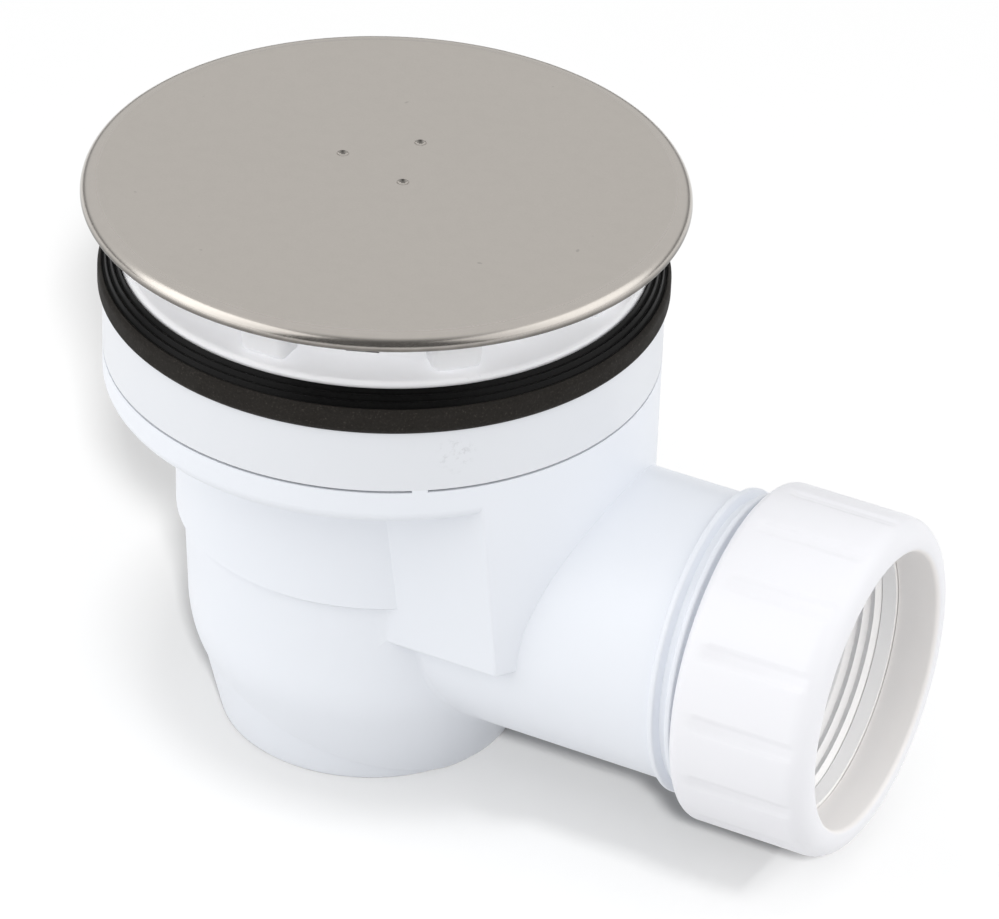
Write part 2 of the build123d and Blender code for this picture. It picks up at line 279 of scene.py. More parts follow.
def groove_mask(nodes, links, place, height, radius):
    """1 inside a narrow groove round the cup's axis, at the height and deeper than the radius."""
    under = height_mask(nodes, links, place, height + 0.35 * MM, height + 0.4 * MM)
    over = height_mask(nodes, links, place, height - 0.4 * MM, height - 0.35 * MM)
    level = nodes.new("ShaderNodeMath")
    level.operation = "SUBTRACT"
    links.new(under, level.inputs[0])
    links.new(over, level.inputs[1])
    inside = nodes.new("ShaderNodeMath")
    inside.operation = "MULTIPLY"
    links.new(level.outputs["Value"], inside.inputs[0])
    outside = ring_mask(nodes, links, place, radius - 0.1 * MM, radius)
    left = nodes.new("ShaderNodeMath")
    left.operation = "SUBTRACT"
    left.inputs[0].default_value = 1.0
    links.new(outside, left.inputs[1])
    links.new(left.outputs["Value"], inside.inputs[1])
    return inside.outputs["Value"]


def scuff_mask(nodes, links, place, centre, reach):
    """Broken marks round one place, 1 where the surface is scuffed."""
    away = nodes.new("ShaderNodeVectorMath")
    away.operation = "DISTANCE"
    away.inputs[1].default_value = centre
    links.new(place.outputs["Object"], away.inputs[0])
    near = nodes.new("ShaderNodeMapRange")
    near.inputs["From Min"].default_value = 0.4 * reach
    near.inputs["From Max"].default_value = reach
    near.inputs["To Min"].default_value = 1.0
    near.inputs["To Max"].default_value = 0.0
    links.new(away.outputs["Value"], near.inputs["Value"])
    blot = noise(nodes, links, place, 700.0, 6.0, 0.75)
    broken = nodes.new("ShaderNodeMapRange")
    broken.inputs["From Min"].default_value = 0.53
    broken.inputs["From Max"].default_value = 0.66
    links.new(blot.outputs["Fac"], broken.inputs["Value"])
    both = nodes.new("ShaderNodeMath")
    both.operation = "MULTIPLY"
    links.new(near.outputs["Result"], both.inputs[0])
    links.new(broken.outputs["Result"], both.inputs[1])
    return both.outputs["Value"]


def moulded_plastic(name, shade, gloss, scuffed_at=None, seam=None, painted_mouth_light=None):
    """Smooth moulded plastic: a cloudy tint, a soft sheen that varies, and a very fine moulding texture, with
    optional scuffs, painted shade in a seam's groove and painted light inside a mouth.
    """
    material, nodes, links, shader, place = new_material(name)
    cloud = noise(nodes, links, place, 14.0, 0.0)
    tone = ramp(nodes, links, cloud.outputs["Fac"], [(0.3, tint(shade, 0.985)), (0.7, tint(shade, 1.01))])
    tone = tone.outputs["Color"]
    # Painted light: inside the mouth's radius the plastic takes the paler colour, lifting the shade that falls
    # there.
    if painted_mouth_light:
        radius, inner = painted_mouth_light
        inside = ramp(nodes, links, cloud.outputs["Fac"], [(0.3, tint(inner, 0.985)), (0.7, tint(inner, 1.01))])
        mask = ring_mask(nodes, links, place, radius, radius + 0.6 * MM, AROUND_OUTLET)
        tone = mixed(nodes, links, "RGBA", mask, inside.outputs["Color"], tone)
    if scuffed_at:
        worn = ramp(nodes, links, cloud.outputs["Fac"], [(0.3, tint(shade, 0.78)), (0.7, tint(shade, 0.86))])
        mask = scuff_mask(nodes, links, place, scuffed_at, 4.5 * MM)
        tone = mixed(nodes, links, "RGBA", mask, tone, worn.outputs["Color"])
    # Painted shade: inside the seam's groove the plastic is made nearly black, deepening the shade there.
    if seam:
        groove_shade = ramp(nodes, links, cloud.outputs["Fac"], [(0.3, tint(shade, 0.1)), (0.7, tint(shade, 0.16))])
        mask = groove_mask(nodes, links, place, *seam)
        tone = mixed(nodes, links, "RGBA", mask, tone, groove_shade.outputs["Color"])
    links.new(tone, shader.inputs["Base Color"])
    sheen = noise(nodes, links, place, 90.0, 1.0)
    rough = spread(nodes, links, sheen.outputs["Fac"], gloss - 0.05, gloss + 0.07)
    links.new(rough.outputs["Result"], shader.inputs["Roughness"])
    grain = noise(nodes, links, place, 2400.0, 2.0)
    bump(nodes, links, grain.outputs["Fac"], shader, 0.01 * MM, 0.08)
    return material


def black_rubber(name, clean, dust, band):
    """Moulded rubber, darker and smoother inside the band's radius, dusty with pale specks outside it."""
    material, nodes, links, shader, place = new_material(name)
    shader.inputs["Specular IOR Level"].default_value = 0.1
    fleck = noise(nodes, links, place, 2200.0, 3.0, 0.7)
    dark = ramp(nodes, links, fleck.outputs["Fac"], [(0.35, tint(clean, 0.7)), (0.7, tint(clean, 1.5))])
    pale = [(0.32, tint(dust, 0.7)), (0.6, dust), (0.72, tint(dust, 2.6))]
    dusty = ramp(nodes, links, fleck.outputs["Fac"], pale)
    mask = ring_mask(nodes, links, place, band - 0.1 * MM, band + 0.1 * MM)
    tone = mixed(nodes, links, "RGBA", mask, dark.outputs["Color"], dusty.outputs["Color"])
    links.new(tone, shader.inputs["Base Color"])
    patch = noise(nodes, links, place, 240.0, 4.0)
    smooth = spread(nodes, links, patch.outputs["Fac"], 0.28, 0.36)
    matt = spread(nodes, links, patch.outputs["Fac"], 0.6, 0.75)
    rough = mixed(nodes, links, "FLOAT", mask, smooth.outputs["Result"], matt.outputs["Result"])
    links.new(rough, shader.inputs["Roughness"])
    bump(nodes, links, fleck.outputs["Fac"], shader, 0.04 * MM, 0.3)
    return material


def height_mask(nodes, links, place, low, high):
    """A value that goes from 1 to 0 between two heights."""
    height = nodes.new("ShaderNodeSeparateXYZ")
    links.new(place.outputs["Object"], height.inputs["Vector"])
    mask = nodes.new("ShaderNodeMapRange")
    mask.inputs["From Min"].default_value = low
    mask.inputs["From Max"].default_value = high
    mask.inputs["To Min"].default_value = 1.0
    mask.inputs["To Max"].default_value = 0.0
    links.new(height.outputs["Z"], mask.inputs["Value"])
    return mask.outputs["Result"]


def satin_steel(name, shade, bead, painted_reflection_below=None):
    """Satin stainless sheet with a fine even grain and a few specks, polished outside the bead's radius, and
    with a painted dark reflection just above the given lower height.
    """
    material, nodes, links, shader, place = new_material(name)
    shader.inputs["Metallic"].default_value = 1.0
    speck = noise(nodes, links, place, 420.0, 0.0)
    cloud = [
        (0.25, tint(shade, 0.992)),
        (0.6, tint(shade, 1.005)),
        (0.86, tint(shade, 1.006)),
        (0.89, tint(shade, 0.8)),
    ]
    tone = ramp(nodes, links, speck.outputs["Fac"], cloud).outputs["Color"]
    # Painted reflection: the steel is darkened just above its lower edge, standing in for dark surroundings
    # mirrored there.
    if painted_reflection_below:
        dark = ramp(nodes, links, speck.outputs["Fac"], [(0.3, tint(shade, 0.3)), (0.7, tint(shade, 0.36))])
        mask = height_mask(nodes, links, place, painted_reflection_below + 0.5 * MM, painted_reflection_below + 1.3 * MM)
        tone = mixed(nodes, links, "RGBA", mask, tone, dark.outputs["Color"])
    links.new(tone, shader.inputs["Base Color"])
    grain = noise(nodes, links, place, 1800.0, 3.0, 0.6)
    satin = spread(nodes, links, grain.outputs["Fac"], 0.34, 0.44)
    bright = spread(nodes, links, grain.outputs["Fac"], 0.21, 0.26)
    mask = ring_mask(nodes, links, place, bead - 0.3 * MM, bead + 0.3 * MM)
    rough = mixed(nodes, links, "FLOAT", mask, satin.outputs["Result"], bright.outputs["Result"])
    links.new(rough, shader.inputs["Roughness"])
    bump(nodes, links, grain.outputs["Fac"], shader, 0.006 * MM, 0.1)
    return material


def dress(piece, material):
    """Gives a piece one material all over."""
    piece.data.materials.clear()
    piece.data.materials.append(material)


# Modelling steps


def select_only(piece):
    """Makes one piece the only selected and active object."""
    bpy.ops.object.select_all(action="DESELECT")
    piece.select_set(True)
    bpy.context.view_layer.objects.active = piece


def pick(piece, kind, test):
    """Selects the vertices, edges or faces of the piece in edit mode that pass a test."""
    mode = {"verts": "VERT", "edges": "EDGE", "faces": "FACE"}[kind]
    bpy.ops.mesh.select_mode(type=mode)
    bpy.ops.mesh.select_all(action="DESELECT")
    mesh = bmesh.from_edit_mesh(piece.data)
    for element in getattr(mesh, kind):
        if test(element):
            element.select_set(True)
    mesh.select_flush_mode()
    bmesh.update_edit_mesh(piece.data)


def on_outline(around, radius, station):
    """The place of a corner: radius and height about the cup, or radius and station about the outlet."""
    if around == AROUND_CUP:
        return Vector((radius, 0.0, station))
    return Vector((station, radius, OUTLET_HEIGHT))


def draw_outline(name, around, corners, closed=True):
    """Starts a piece in edit mode by extruding a point along its corners: radius, station, rounding."""
    bpy.ops.object.select_all(action="DESELECT")
    bpy.ops.mesh.primitive_plane_add(size=MM)
    piece = bpy.context.object
    piece.name = name
    piece.data.name = name
    bpy.ops.object.mode_set(mode="EDIT")
    bpy.ops.mesh.select_mode(type="VERT")
    bpy.ops.mesh.select_all(action="SELECT")
    bpy.ops.mesh.merge(type="CENTER")
    points = [on_outline(around, radius, station) for radius, station, rounding in corners]
    bpy.ops.transform.translate(value=points[0])
    for start, end in zip(points, points[1:]):
        bpy.ops.mesh.extrude_region_move(TRANSFORM_OT_translate={"value": end - start})
    if closed:
        tips = (points[0], points[-1])
        pick(piece, "verts", lambda vertex: min((vertex.co - tip).length for tip in tips) < 1e-7)
        bpy.ops.mesh.edge_face_add()
    for point, (radius, station, rounding) in zip(points, corners):
        if rounding > 0.0:
            pick(piece, "verts", lambda vertex: (vertex.co - point).length < 1e-7)
            segments = 10 if rounding > 2.0 * MM else 6
            bpy.ops.mesh.bevel(
                offset=rounding, segments=segments, profile=0.5, affect="VERTICES", clamp_overlap=True
            )
    return piece


def spin_outline(piece, around, steps):
    """Spins the outline right round, closes the seam and turns the faces outwards."""
    axis = (0.0, 0.0, 1.0) if around == AROUND_CUP else (1.0, 0.0, 0.0)
    centre = (0.0, 0.0, 0.0) if around == AROUND_CUP else (0.0, 0.0, OUTLET_HEIGHT)
    bpy.ops.mesh.select_all(action="SELECT")
    bpy.ops.mesh.spin(steps=steps, angle=math.tau, center=centre, axis=axis)
    bpy.ops.mesh.select_all(action="SELECT")
    bpy.ops.mesh.remove_doubles(threshold=1e-6)
    bpy.ops.mesh.normals_make_consistent(inside=False)
    return piece


def finish_piece(piece, angle=35.0):
    """Leaves edit mode and shades the piece smooth, with creases where faces meet past the angle."""
    if bpy.context.mode != "OBJECT":
        bpy.ops.object.mode_set(mode="OBJECT")
    select_only(piece)
    bpy.ops.object.shade_smooth_by_angle(angle=math.radians(angle))
    return piece


def apply_modifier(piece, kind, **settings):
    """Adds a modifier, sets it and applies it."""
    select_only(piece)
    modifier = piece.modifiers.new(kind.title(), kind)
    for key, value in settings.items():
        setattr(modifier, key, value)
    bpy.ops.object.modifier_apply(modifier=modifier.name)


def turned_piece(name, around, corners, steps=192, closed=True):
    """A piece of revolution, ready for more work in object mode."""
    piece = draw_outline(name, around, corners, closed)
    spin_outline(piece, around, steps)
    return finish_piece(piece)


def smooth_copy(node, name, angle=30.0):
    """A copy of a CAD node as one closed, smooth-shaded mesh."""
    bpy.ops.object.select_all(action="DESELECT")
    source = frame["nodes"][node]
    source.select_set(True)
    bpy.context.view_layer.objects.active = source
    bpy.ops.object.duplicate(linked=False)
    piece = bpy.context.object
    bpy.ops.object.parent_clear(type="CLEAR_KEEP_TRANSFORM")
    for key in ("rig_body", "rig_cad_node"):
        if key in piece:
            del piece[key]
    piece.name = name
    piece.data.name = name
    if piece.data.has_custom_normals:
        bpy.ops.mesh.customdata_custom_splitnormals_clear()
    bpy.ops.object.mode_set(mode="EDIT")
    bpy.ops.mesh.select_all(action="SELECT")
    bpy.ops.mesh.remove_doubles(threshold=1e-6)
    finish_piece(piece, angle)
    apply_modifier(piece, "WEIGHTED_NORMAL", mode="FACE_AREA", weight=50, keep_sharp=True)
    return piece


def settle(piece, body, node=None):
    """Attaches a finished piece to its body and hides the CAD node that it stands for."""
    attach(piece, body)
    if node:
        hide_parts(node)


def settings():
    return bpy.context.scene.waste_trap


# Operators, one for each piece or group of like pieces


class WASTETRAP_OT_cover_plate(Operator):
    """Model the round steel cover with its rolled edge and dimples"""

    bl_idname = "waste_trap.cover_plate"
    bl_label = "Cover Plate"

    def execute(self, context):
        size = settings().cover
        low = size.top - size.rim
        under = size.top - size.sheet
        drop = 0.1 * MM
        crease = size.radius - size.crease
        corners = [
            (0.0, size.top, 0.0),
            (crease - 0.5 * MM, size.top, 0.0),
            (crease, size.top, 0.0),
            (crease + 0.4 * MM, size.top - drop, 0.0),
            (size.radius, size.top - drop, size.edge_round),
            (size.radius, low, 0.25 * MM),
            (size.radius - size.sheet, low, 0.25 * MM),
            (size.radius - size.sheet, under, size.edge_round - size.sheet),
            (0.0, under, 0.0),
        ]
        piece = turned_piece("steel_cover", AROUND_CUP, corners, steps=256, closed=False)
        for x, y in DIMPLES:
            self.press_dimple(piece, Vector((x, y, size.top)), size)
        finish_piece(piece)
        # The cover's lower edge gets the painted dark reflection.
        dress(piece, satin_steel("satin_steel", size.steel, crease, low))
        # Painted reflection: a darker copy of the steel for the dimple walls that face the camera.
        self.paint_dimple_reflection(piece, satin_steel("dimple_steel", tint(size.steel, 0.38), size.radius), size)
        settle(piece, BODY, "cover_plate")
        return {"FINISHED"}

    def press_dimple(self, piece, place, size):
        """Cuts one round dimple into the cover's top with a ball."""
        bpy.ops.object.select_all(action="DESELECT")
        rise = Vector((0.0, 0.0, size.dimple - size.dimple_depth))
        bpy.ops.mesh.primitive_uv_sphere_add(
            segments=32, ring_count=16, radius=size.dimple, location=place + rise
        )
        ball = bpy.context.object
        apply_modifier(piece, "BOOLEAN", object=ball, operation="DIFFERENCE", solver="EXACT")
        bpy.data.objects.remove(ball)

    def paint_dimple_reflection(self, piece, steel, size):
        """Gives the wall of each dimple that faces the camera's side a darker steel: a painted dark reflection.
        """
        piece.data.materials.append(steel)
        select_only(piece)
        bpy.ops.object.mode_set(mode="EDIT")

        turn = math.radians(CAMERA_SIDE)
        forward = Vector((math.cos(turn), math.sin(turn), 0.0))
        steep = 0.4

        def in_dimple(face):
            # Only walls turned towards the camera's side get the painted dark reflection.
            if face.normal.dot(forward) < steep:
                return False
            centre = face.calc_center_median()
            near = min((Vector(place) - centre.xy).length for place in DIMPLES)
            return near < size.dimple and size.top - size.sheet < centre.z < size.top - 0.01 * MM

        pick(piece, "faces", in_dimple)
        piece.active_material_index = 1
        bpy.ops.object.material_slot_assign()
        bpy.ops.object.mode_set(mode="OBJECT")


class WASTETRAP_OT_tray_seal(Operator):
    """Model the black tray seal with its plain band and stepped ridges"""

    bl_idname = "waste_trap.tray_seal"
    bl_label = "Tray Seal"

    def execute(self, context):
        size = settings().seal
        bottom, radius = size.bottom, size.radius
        band_edge, band_top = radius - 0.6 * MM, bottom + size.band
        corners = [
            (size.inner, bottom, 0.0),
            (radius - 0.9 * MM, bottom, 0.2 * MM),
            (radius, bottom + 0.9 * MM, 0.5 * MM),
            (radius, band_top - 0.9 * MM, 0.5 * MM),
            (band_edge, band_top, 0.2 * MM),
        ]
        rise = (size.top - band_top) / size.ridges
        for index in range(size.ridges):
            crest = band_edge - (index + 1) * size.ridge_pitch
            level = band_top + rise * (index + 1)
            corners.append((crest + size.ridge_pitch / 2.0, level - rise - 0.3 * MM, 0.1 * MM))
            corners.append((crest, level, 0.2 * MM))
        corners.append((size.lip, size.seat, 0.0))
        corners.append((size.inner, size.seat, 0.0))
        piece = turned_piece("rubber_seal", AROUND_CUP, corners, steps=256)
        dress(piece, black_rubber("black_rubber", size.rubber, size.dust, band_edge - 0.1 * MM))
        settle(piece, BODY, "tray_seal")
        return {"FINISHED"}


class WASTETRAP_OT_flange(Operator):
    """Dress the flange, the cover's carrier and the dip tube"""

    bl_idname = "waste_trap.flange"
    bl_label = "Flange, Carrier and Dip Tube"

    def execute(self, context):
        plastic = moulded_plastic("flange_plastic", settings().flange.plastic, 0.36)
        for node in ("flange", "cover_carrier", "dip_tube"):
            piece = smooth_copy(node, node + "_moulding")
            if node == "cover_carrier":
                self.soften_feet(piece)
            dress(piece, plastic)
            settle(piece, BODY, node)
        return {"FINISHED"}

    def soften_feet(self, piece):
        """Rounds the lower edges of the carrier's feet."""
        floor = LOW["cover_carrier"].z
        select_only(piece)
        bpy.ops.object.mode_set(mode="EDIT")
        just_above = floor + 0.01 * MM
        pick(piece, "faces", lambda face: face.normal.z < -0.9 and face.calc_center_median().z < just_above)
        bpy.ops.mesh.dissolve_faces()
        pick(piece, "edges", lambda edge: all(vertex.co.z < floor + 0.01 * MM for vertex in edge.verts))
        bpy.ops.mesh.bevel(offset=1.0 * MM, segments=5, profile=0.5, affect="EDGES", clamp_overlap=True)
        finish_piece(piece, 40.0)


class WASTETRAP_OT_trap_body(Operator):
    """Dress the trap body and its collar"""

    bl_idname = "waste_trap.trap_body"
    bl_label = "Trap Body and Collar"

    def execute(self, context):
        shade = settings().body.plastic
        plastic = moulded_plastic("body_plastic", shade, 0.36)
        # The collar has scuffs and painted shade in its seam groove.
        collar_plastic = moulded_plastic("collar_plastic", settings().body.collar, 0.36, SCUFFS, SEAM)
        for node, finish in (("trap_body", plastic), ("collar", collar_plastic)):
            piece = smooth_copy(node, node + "_moulding")
            dress(piece, finish)
            settle(piece, BODY, node)
        thread = self.outlet_thread(settings().body)
        dress(thread, plastic)
        settle(thread, BODY)
        return {"FINISHED"}

    def outlet_thread(self, size):
        """The thread on the outlet pipe: its section is screwed along the pipe and the ends are closed."""
        middle = size.start
        corners = [
            (size.root, middle - 1.3 * MM, 0.0),
            (size.crest, middle - 0.5 * MM, 0.3 * MM),
            (size.crest, middle + 0.5 * MM, 0.3 * MM),
            (size.root, middle + 1.3 * MM, 0.0),
        ]
        piece = draw_outline("outlet_thread", AROUND_OUTLET, corners)
        bpy.ops.mesh.select_all(action="SELECT")
        bpy.ops.transform.translate(value=(0.0, 0.0, -OUTLET_HEIGHT))
        bpy.ops.object.mode_set(mode="OBJECT")
        apply_modifier(
            piece,
            "SCREW",
            axis="X",
            angle=math.tau,
            screw_offset=size.pitch,
            iterations=size.turns,
            steps=96,
            render_steps=96,
            use_merge_vertices=False,
        )
        bpy.ops.object.mode_set(mode="EDIT")
        bpy.ops.mesh.select_all(action="SELECT")
        bpy.ops.transform.translate(value=(0.0, 0.0, OUTLET_HEIGHT))
        bpy.ops.mesh.remove_doubles(threshold=1e-6)
        bpy.ops.mesh.fill_holes(sides=0)
        bpy.ops.mesh.select_all(action="SELECT")
        bpy.ops.mesh.normals_make_consistent(inside=False)
        return finish_piece(piece, 40.0)


class WASTETRAP_OT_outlet_nut(Operator):
    """Model the compression nut with its grip grooves"""

    bl_idname = "waste_trap.outlet_nut"
    bl_label = "Outlet Nut"

    def execute(self, context):
        size = settings().nut
        rear, front = LOW["outlet_nut"].x, HIGH["outlet_nut"].x
        start = rear + size.groove_start
        corners = [
            (size.bore, rear, 0.3 * MM),
            (size.radius, rear, size.rear_round),
            (size.radius, start, 0.0),
            (size.radius, start + 0.7 * MM, 0.0),
            (size.radius, front, size.front_round),
            (size.mouth, front, 1.1 * MM),
            (size.mouth, front - size.land, 0.2 * MM),
            (size.bore, front - size.land, 0.0),
        ]
        piece = draw_outline("nut_moulding", AROUND_OUTLET, corners)
        spin_outline(piece, AROUND_OUTLET, 360)
        self.sink_grooves(piece, size, start + 0.3 * MM)
        finish_piece(piece, 42.0)
        # Painted light inside the mouth: a paler colour within the mouth's radius.
        painted_mouth_light = (size.mouth + 0.2 * MM, size.painted_mouth_light)
        dress(piece, moulded_plastic("nut_plastic", size.plastic, 0.38, painted_mouth_light=painted_mouth_light))
        settle(piece, NUT_BODY, "outlet_nut")
        return {"FINISHED"}

    def sink_grooves(self, piece, size, start):
        """Draws each groove's vertices in to its floor, ring by ring, until the front rounding runs out."""
        floor = size.radius - size.groove_depth
        centre = Vector((0.0, 0.0, OUTLET_HEIGHT))

        def radius(vertex):
            return math.hypot(vertex.co.y, vertex.co.z - OUTLET_HEIGHT)

        def in_groove(vertex):
            if vertex.co.x < start or radius(vertex) < floor:
                return False
            spacing = 360.0 / size.grooves
            angle = math.degrees(math.atan2(vertex.co.y, vertex.co.z - OUTLET_HEIGHT)) - GROOVE_ANGLE
            return abs((angle + spacing / 2.0) % spacing - spacing / 2.0) < 2.4

        mesh = bmesh.from_edit_mesh(piece.data)
        rings = sorted({round(radius(vertex), 6) for vertex in mesh.verts if in_groove(vertex)})
        for ring in rings:
            factor = floor / ring
            pick(piece, "verts", lambda vertex: in_groove(vertex) and abs(radius(vertex) - ring) < 1e-6)
            bpy.ops.transform.resize(value=(1.0, factor, factor), center_override=centre)


class WASTETRAP_OT_small_parts(Operator):
    """Dress the cone seal, the slip ring, the sealing ring and the cover's studs"""

    bl_idname = "waste_trap.small_parts"
    bl_label = "Small Parts"

    def execute(self, context):
        seal, cover = settings().seal, settings().cover
        dress(frame["nodes"]["dip_tube_ring"], black_rubber("ring_rubber", seal.rubber, seal.dust, seal.radius))
        dress(frame["nodes"]["cover_studs"], satin_steel("stud_steel", tint(cover.steel, 0.9), cover.radius))
        cone = smooth_copy("outlet_seal", "cone_seal")
        dress(cone, moulded_plastic("pale_rubber", (0.92, 0.91, 0.90), 0.55))
        settle(cone, BODY, "outlet_seal")
        ring = smooth_copy("slip_ring", "slip_ring_moulding")
        dress(ring, moulded_plastic("slip_plastic", (0.94, 0.93, 0.92), 0.4))
        settle(ring, RING_BODY, "slip_ring")
        return {"FINISHED"}

# The point that the lamps face, and the camera's place, azimuth, elevation and roll
LAMP_TARGET = Vector((20.0, 0.0, 60.0)) * MM
CAMERA_PLACE = Vector((443.8, -839.6, 664.4)) * MM
CAMERA_ANGLES = (26.5, 32.69, 2.27)


class WASTETRAP_OT_stage(Operator):
    """Set up the floor, the light and the camera"""

    bl_idname = "waste_trap.stage"
    bl_label = "Stage"

    def execute(self, context):
        size = settings().stage
        floor = self.floor(size)
        self.world(context)
        self.light(floor)
        self.camera(context, size)
        context.scene.view_settings.view_transform = "Standard"
        return {"FINISHED"}

    def floor(self, size):
        """A white floor, a little darker in the light that it sends back up."""
        bpy.ops.object.select_all(action="DESELECT")
        bpy.ops.mesh.primitive_plane_add(size=8.0)
        floor = bpy.context.object
        floor.name = "floor"
        material = bpy.data.materials.new("floor_white")
        material.use_nodes = True
        nodes, links = material.node_tree.nodes, material.node_tree.links
        nodes.remove(nodes["Principled BSDF"])
        choice = nodes.new("ShaderNodeMixShader")
        links.new(self.seen(nodes, links), choice.inputs["Fac"])
        for socket, shade in ((1, size.floor_bounce), (2, size.floor)):
            matt = nodes.new("ShaderNodeBsdfDiffuse")
            matt.inputs["Color"].default_value = (*shade, 1.0)
            links.new(matt.outputs["BSDF"], choice.inputs[socket])
        links.new(choice.outputs["Shader"], nodes["Material Output"].inputs["Surface"])
        floor.data.materials.append(material)
        return floor

    def seen(self, nodes, links):
        """1 for a ray that shows the backdrop itself, straight or in metal or through something clear."""
        path = nodes.new("ShaderNodeLightPath")
        mirrored = nodes.new("ShaderNodeMath")
        mirrored.operation = "MAXIMUM"
        links.new(path.outputs["Is Glossy Ray"], mirrored.inputs[0])
        links.new(path.outputs["Is Transmission Ray"], mirrored.inputs[1])
        any_way = nodes.new("ShaderNodeMath")
        any_way.operation = "MAXIMUM"
        links.new(path.outputs["Is Camera Ray"], any_way.inputs[0])
        links.new(mirrored.outputs["Value"], any_way.inputs[1])
        return any_way.outputs["Value"]

    def fade(self, nodes, links, value, reach, result, shape="SMOOTHSTEP"):
        """Turns a value's reach into a result that runs from one number to the other."""
        step = nodes.new("ShaderNodeMapRange")
        step.interpolation_type = shape
        step.inputs["From Min"].default_value, step.inputs["From Max"].default_value = reach
        step.inputs["To Min"].default_value, step.inputs["To Max"].default_value = result
        links.new(value, step.inputs["Value"])
        return step.outputs["Result"]

    def world(self, context):
        """White light, stronger overhead; the backdrop that is seen is darker by the camera and low down."""
        world = bpy.data.worlds.new("studio")
        world.use_nodes = True
        nodes, links = world.node_tree.nodes, world.node_tree.links
        fill = nodes["Background"]
        fill.inputs["Color"].default_value = (1.0, 1.0, 1.0, 1.0)
        place = nodes.new("ShaderNodeTexCoord")
        height = nodes.new("ShaderNodeSeparateXYZ")
        links.new(place.outputs["Generated"], height.inputs["Vector"])
        sky = self.fade(nodes, links, height.outputs["Z"], (0.0, 1.0), (0.42, 1.0), "LINEAR")
        links.new(sky, fill.inputs["Strength"])
        facing = nodes.new("ShaderNodeVectorMath")
        facing.operation = "DOT_PRODUCT"
        facing.inputs[1].default_value = self.aim(turn=0.0, elevation=15.0)
        links.new(place.outputs["Generated"], facing.inputs[0])
        dimmed = nodes.new("ShaderNodeMath")
        dimmed.operation = "MULTIPLY"
        shade = self.fade(nodes, links, facing.outputs["Value"], (0.2, 0.85), (1.0, 0.12))
        horizon = self.fade(nodes, links, height.outputs["Z"], (0.02, 0.3), (0.2, 1.0))
        links.new(shade, dimmed.inputs[0])
        links.new(horizon, dimmed.inputs[1])
        backdrop = nodes.new("ShaderNodeBackground")
        links.new(dimmed.outputs["Value"], backdrop.inputs["Strength"])
        choice = nodes.new("ShaderNodeMixShader")
        links.new(self.seen(nodes, links), choice.inputs["Fac"])
        links.new(fill.outputs["Background"], choice.inputs[1])
        links.new(backdrop.outputs["Background"], choice.inputs[2])
        links.new(choice.outputs["Shader"], nodes["World Output"].inputs["Surface"])
        context.scene.world = world

    def light(self, floor):
        """A soft lamp on each hand for the part, two for the floor, one for the flange, one for the mouth."""
        left = self.lamp("lamp_left", turn=-66.0, elevation=28.0, distance=1.2, size=(1.3, 1.5), power=7.4)
        right = self.lamp("lamp_right", turn=72.0, elevation=28.0, distance=1.2, size=(1.7, 1.3), power=5.7)
        front = self.lamp("lamp_floor", turn=4.0, elevation=37.0, distance=6.0, size=(0.5, 0.5), power=358.0)
        over = self.lamp("lamp_over", turn=-24.0, elevation=80.0, distance=6.0, size=(1.0, 1.0), power=120.0)
        gap = self.spot("lamp_gap", distance=1.0, radius=46.5 * MM, power=26.0)
        mouth = self.lamp("lamp_mouth", turn=35.0, elevation=22.0, distance=1.2, size=(0.8, 0.5), power=3.4)
        for lamp in (front, over, gap, mouth):
            lamp.visible_glossy = False
        pieces = bpy.data.objects
        flange, nut = pieces["flange_moulding"], pieces["nut_moulding"]
        ring, cone = pieces["slip_ring_moulding"], pieces["cone_seal"]
        cover, carrier = pieces["steel_cover"], pieces["cover_carrier_moulding"]
        lit = (
            ("floor_only", "INCLUDE", (floor,), (front, over)),
            ("all_but_floor", "EXCLUDE", (floor,), (left, right)),
            ("flange_only", "INCLUDE", (flange,), (gap,)),
            ("mouth_only", "INCLUDE", (ring, cone), (mouth,)),
        )
        for name, state, members, lamps in lit:
            group = self.group(name, state, members)
            for lamp in lamps:
                lamp.light_linking.receiver_collection = group
        for lamp, members in ((over, (nut, ring, cone)), (gap, (cover, carrier))):
            lamp.light_linking.blocker_collection = self.group(lamp.name + "_passes", "EXCLUDE", members)

    def group(self, name, state, members):
        """A collection of pieces that a lamp's light takes in or leaves out."""
        group = bpy.data.collections.new(name)
        for piece in members:
            group.objects.link(piece)
        for member in group.collection_objects:
            member.light_linking.link_state = state
        return group

    def aim(self, turn, elevation):
        """A direction from the object: the turn is from the camera's side towards its right."""
        turn = math.radians(CAMERA_SIDE + turn)
        elevation = math.radians(elevation)
        level = math.cos(elevation)
        return Vector((level * math.cos(turn), level * math.sin(turn), math.sin(elevation)))

    def lamp(self, name, turn, elevation, distance, size, power):
        """A soft oblong lamp that faces the object."""
        direction = self.aim(turn, elevation)
        bpy.ops.object.select_all(action="DESELECT")
        bpy.ops.object.light_add(type="AREA", location=LAMP_TARGET + distance * direction)
        lamp = bpy.context.object
        lamp.name = name
        lamp.rotation_euler = direction.to_track_quat("Z", "Y").to_euler()
        lamp.data.shape = "RECTANGLE"
        lamp.data.size, lamp.data.size_y = size
        lamp.data.energy = power
        return lamp

    def spot(self, name, distance, radius, power):
        """A narrow lamp straight above the cup; its beam has the radius at the flange."""
        bpy.ops.object.select_all(action="DESELECT")
        bpy.ops.object.light_add(type="SPOT", location=(0.0, 0.0, HIGH["flange"].z + distance))
        lamp = bpy.context.object
        lamp.name = name
        lamp.data.spot_size = 2.0 * math.atan(radius / distance)
        lamp.data.spot_blend = 0.2
        lamp.data.shadow_soft_size = 0.01
        lamp.data.energy = power
        return lamp

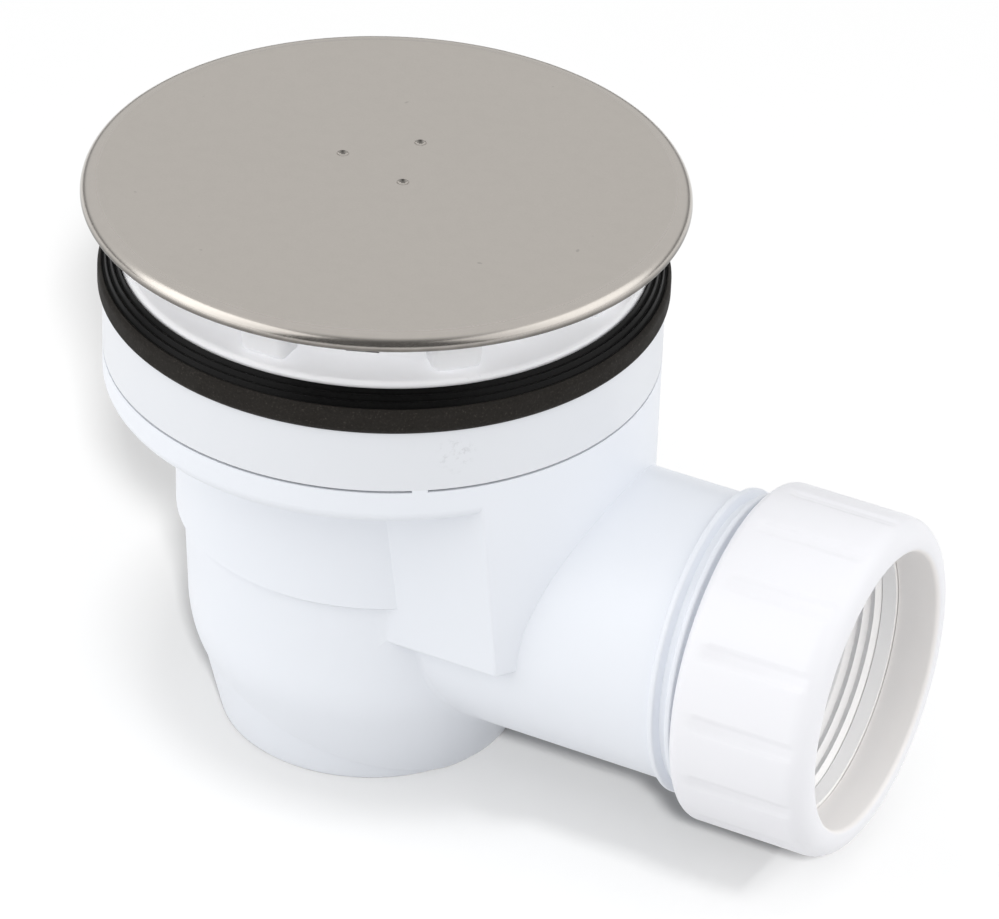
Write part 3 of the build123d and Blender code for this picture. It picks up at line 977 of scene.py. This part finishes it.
    def camera(self, context, size):
        """The camera as fitted to the photograph."""
        azimuth, elevation, roll = (math.radians(angle) for angle in CAMERA_ANGLES)
        level = math.cos(elevation)
        forward = Vector((-math.sin(azimuth) * level, math.cos(azimuth) * level, -math.sin(elevation)))
        right = Vector((math.cos(azimuth), math.sin(azimuth), 0.0))
        up = right.cross(forward)
        side = math.cos(roll) * right + math.sin(roll) * up
        head = math.cos(roll) * up - math.sin(roll) * right
        data = bpy.data.cameras.new("camera")
        data.sensor_fit = "HORIZONTAL"
        data.sensor_width = 36.0
        data.lens = size.lens
        camera = bpy.data.objects.new("camera", data)
        context.scene.collection.objects.link(camera)
        turn = Matrix((side, head, -forward)).transposed()
        camera.matrix_world = Matrix.Translation(CAMERA_PLACE) @ turn.to_4x4()
        context.scene.camera = camera


class WASTETRAP_PT_panel(Panel):
    """Lists the pieces of the waste trap"""

    bl_label = "Waste Trap"
    bl_idname = "WASTETRAP_PT_panel"
    bl_space_type = "VIEW_3D"
    bl_region_type = "UI"
    bl_category = "Waste Trap"

    def draw(self, context):
        for step in STEPS:
            self.layout.operator(step.bl_idname)


STEPS = (
    WASTETRAP_OT_cover_plate,
    WASTETRAP_OT_tray_seal,
    WASTETRAP_OT_flange,
    WASTETRAP_OT_trap_body,
    WASTETRAP_OT_outlet_nut,
    WASTETRAP_OT_small_parts,
    WASTETRAP_OT_stage,
)
GROUPS = (CoverSettings, SealSettings, FlangeSettings, BodySettings, NutSettings, StageSettings, TrapSettings)


def register():
    for cls in (*GROUPS, *STEPS, WASTETRAP_PT_panel):
        bpy.utils.register_class(cls)
    bpy.types.Scene.waste_trap = PointerProperty(type=TrapSettings)


def unregister():
    del bpy.types.Scene.waste_trap
    for cls in reversed((*GROUPS, *STEPS, WASTETRAP_PT_panel)):
        bpy.utils.unregister_class(cls)


def main():
    register()
    bpy.ops.waste_trap.cover_plate()
    bpy.ops.waste_trap.tray_seal()
    bpy.ops.waste_trap.flange()
    bpy.ops.waste_trap.trap_body()
    bpy.ops.waste_trap.outlet_nut()
    bpy.ops.waste_trap.small_parts()
    bpy.ops.waste_trap.stage()


if __name__ == "__main__":
    main()
